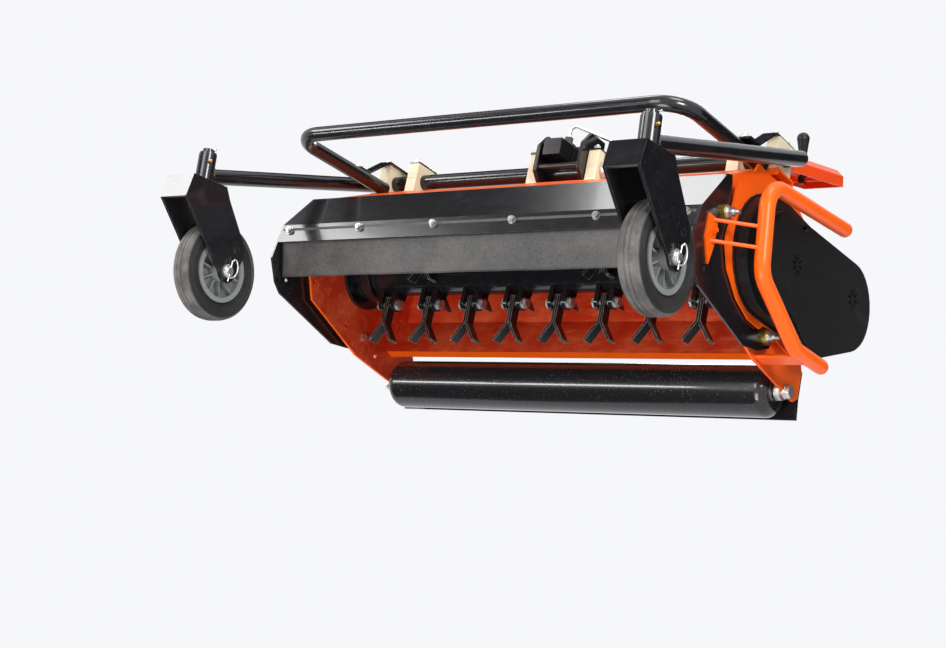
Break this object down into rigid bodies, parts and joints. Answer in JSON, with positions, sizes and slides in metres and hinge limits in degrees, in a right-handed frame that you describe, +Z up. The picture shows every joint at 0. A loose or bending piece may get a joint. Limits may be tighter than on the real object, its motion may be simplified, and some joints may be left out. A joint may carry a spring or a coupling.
{
  "type": "front flail mulcher attachment",
  "caption": "Flail mulcher for a two-wheel tractor: folded deck, rotor with swinging Y blades, rear roller, castors on a tilting frame, side belt drive.",
  "frame": {"origin": "centre of the rear face of the spigot that couples the mulcher to the tractor", "axes": "X runs across the machine to the right of a viewer in front of it, +Y points back to the tractor along the spigot, +Z is up; the ground is 0.27 m below the origin"},
  "size_m": [1.151, 0.995, 0.6079],
  "materials": {
    "orange_paint": "orange powder coat, dusty inside the deck",
    "black_paint": "gloss black enamel",
    "zinc": "zinc plate",
    "yellow_zinc": "yellow passivated zinc",
    "brass": "bare brass",
    "blade_steel": "black paint, bright ground edges",
    "dull_steel": "turned steel",
    "pulley_iron": "machined casting",
    "housing_iron": "grey casting, painted",
    "case_plastic": "moulded black plastic",
    "lever_plastic": "black plastic knob on a steel rod",
    "nylon": "cream nylon",
    "red_cover": "red-orange paint",
    "flap_rubber": "dusty sheet rubber",
    "belt_rubber": "belt rubber",
    "tyre_rubber": "ribbed solid rubber",
    "rim_plastic": "grey moulded plastic"
  },
  "bodies": {
    "deck": {"deck_shell": "orange_paint", "side_plate_left": "orange_paint", "side_plate_right": "orange_paint", "front_hood": "black_paint", "hood_side_left": "black_paint", "hood_side_right": "black_paint", "rubber_flap": "flap_rubber", "flap_strip": "black_paint", "hood_bolts": "zinc", "deck_bolts": "zinc", "spacer_washers": "yellow_zinc", "bearing_left": "black_paint", "bearing_right": "black_paint", "roller_axles": "zinc", "roller_scraper": "black_paint", "front_hoop": "black_paint", "bearing_blocks": "nylon", "block_caps": "black_paint", "block_bolts": "zinc", "block_channels": "orange_paint", "lock_bracket": "black_paint", "lock_housing": "black_paint", "rod_boot": "flap_rubber", "belt_case": "case_plastic", "belt_cover": "case_plastic", "drive_belt": "belt_rubber", "guard_tube": "orange_paint", "guard_mounts": "orange_paint", "gearbox": "housing_iron", "drive_tube": "orange_paint", "drive_cover": "red_cover", "belt_back": "orange_paint"},
    "castor_frame": {"cross_tube": "black_paint", "arm_left": "black_paint", "arm_right": "black_paint", "king_tube_left": "black_paint", "king_tube_right": "black_paint", "grease_nipples": "brass", "rod_clevis": "zinc"},
    "left_fork": {"fork_left": "black_paint", "axle_left": "zinc"},
    "right_fork": {"fork_right": "black_paint", "axle_right": "zinc"},
    "left_wheel": {"tyre_left": "tyre_rubber", "rim_left": "rim_plastic"},
    "right_wheel": {"tyre_right": "tyre_rubber", "rim_right": "rim_plastic"},
    "rotor": {"rotor_tube": "black_paint", "rotor_lugs": "black_paint", "blade_bolts": "zinc", "rotor_pulley": "pulley_iron"},
    "front_row": {"front_blades": "blade_steel"},
    "upper_hanging": {"upper_blades": "blade_steel"},
    "upper_parked": {"parked_blades": "blade_steel"},
    "rear_row": {"rear_blades": "blade_steel"},
    "rear_roller": {"roller": "black_paint"},
    "drive": {"drive_shaft": "dull_steel"},
    "input": {"input_shaft": "dull_steel"},
    "feeler": {"feeler_rod": "zinc"},
    "lever": {"clutch_lever": "lever_plastic"}
  },
  "joints": [
    {"name": "castor_frame_tilt", "type": "hinge", "parent": "deck", "child": "castor_frame", "pos_m": [0, -0.37, 0.201], "axis": [1, 0, 0], "range_deg": [0, 10]},
    {"name": "left_castor_swivel", "type": "hinge", "parent": "castor_frame", "child": "left_fork", "pos_m": [-0.517, -0.884, -0.013], "axis": [0, -0.1011, 0.9949], "continuous": true},
    {"name": "right_castor_swivel", "type": "hinge", "parent": "castor_frame", "child": "right_fork", "pos_m": [0.517, -0.884, -0.013], "axis": [0, -0.1011, 0.9949], "continuous": true},
    {"name": "left_wheel_spin", "type": "hinge", "parent": "left_fork", "child": "left_wheel", "pos_m": [-0.517, -0.796, -0.17], "axis": [1, 0, 0], "continuous": true},
    {"name": "right_wheel_spin", "type": "hinge", "parent": "right_fork", "child": "right_wheel", "pos_m": [0.517, -0.796, -0.17], "axis": [1, 0, 0], "continuous": true},
    {"name": "rotor_spin", "type": "hinge", "parent": "deck", "child": "rotor", "pos_m": [0, -0.384, -0.025], "axis": [1, 0, 0], "continuous": true},
    {"name": "front_blades_swing", "type": "hinge", "parent": "rotor", "child": "front_row", "pos_m": [0, -0.39558, -0.09809], "axis": [1, 0, 0], "range_deg": [-95, 78]},
    {"name": "upper_blades_swing", "type": "hinge", "parent": "rotor", "child": "upper_hanging", "pos_m": [0, -0.44151, 0.02157], "axis": [1, 0, 0], "range_deg": [-255, 0]},
    {"name": "parked_blades_swing", "type": "hinge", "parent": "rotor", "child": "upper_parked", "pos_m": [0, -0.44151, 0.02157], "axis": [1, 0, 0], "range_deg": [0, 255]},
    {"name": "rear_blades_swing", "type": "hinge", "parent": "rotor", "child": "rear_row", "pos_m": [0, -0.31492, 0.00152], "axis": [1, 0, 0], "range_deg": [-4, 180]},
    {"name": "roller_spin", "type": "hinge", "parent": "deck", "child": "rear_roller", "pos_m": [0, -0.21, -0.218], "axis": [1, 0, 0], "continuous": true},
    {"name": "drive_shaft_spin", "type": "hinge", "parent": "deck", "child": "drive", "pos_m": [0, -0.132, 0], "axis": [1, 0, 0], "continuous": true},
    {"name": "input_shaft_spin", "type": "hinge", "parent": "deck", "child": "input", "pos_m": [0, 0, 0], "axis": [0, 1, 0], "continuous": true},
    {"name": "feeler_rod_turn", "type": "hinge", "parent": "deck", "child": "feeler", "pos_m": [-0.02, -0.37, 0.27], "axis": [0, 0, 1], "range_deg": [-2.8, 0]},
    {"name": "clutch_lever_swing", "type": "hinge", "parent": "deck", "child": "lever", "pos_m": [0.436, -0.17852, 0.24394], "axis": [1, 0, 0], "range_deg": [-20, 20]}
  ],
  "couplings": [
    {"joint": "drive_shaft_spin", "follows": "rotor_spin", "ratio": 0.84615},
    {"joint": "input_shaft_spin", "follows": "rotor_spin", "ratio": 0.84615},
    {"joint": "feeler_rod_turn", "follows": "castor_frame_tilt", "ratio": -0.28}
  ]
}
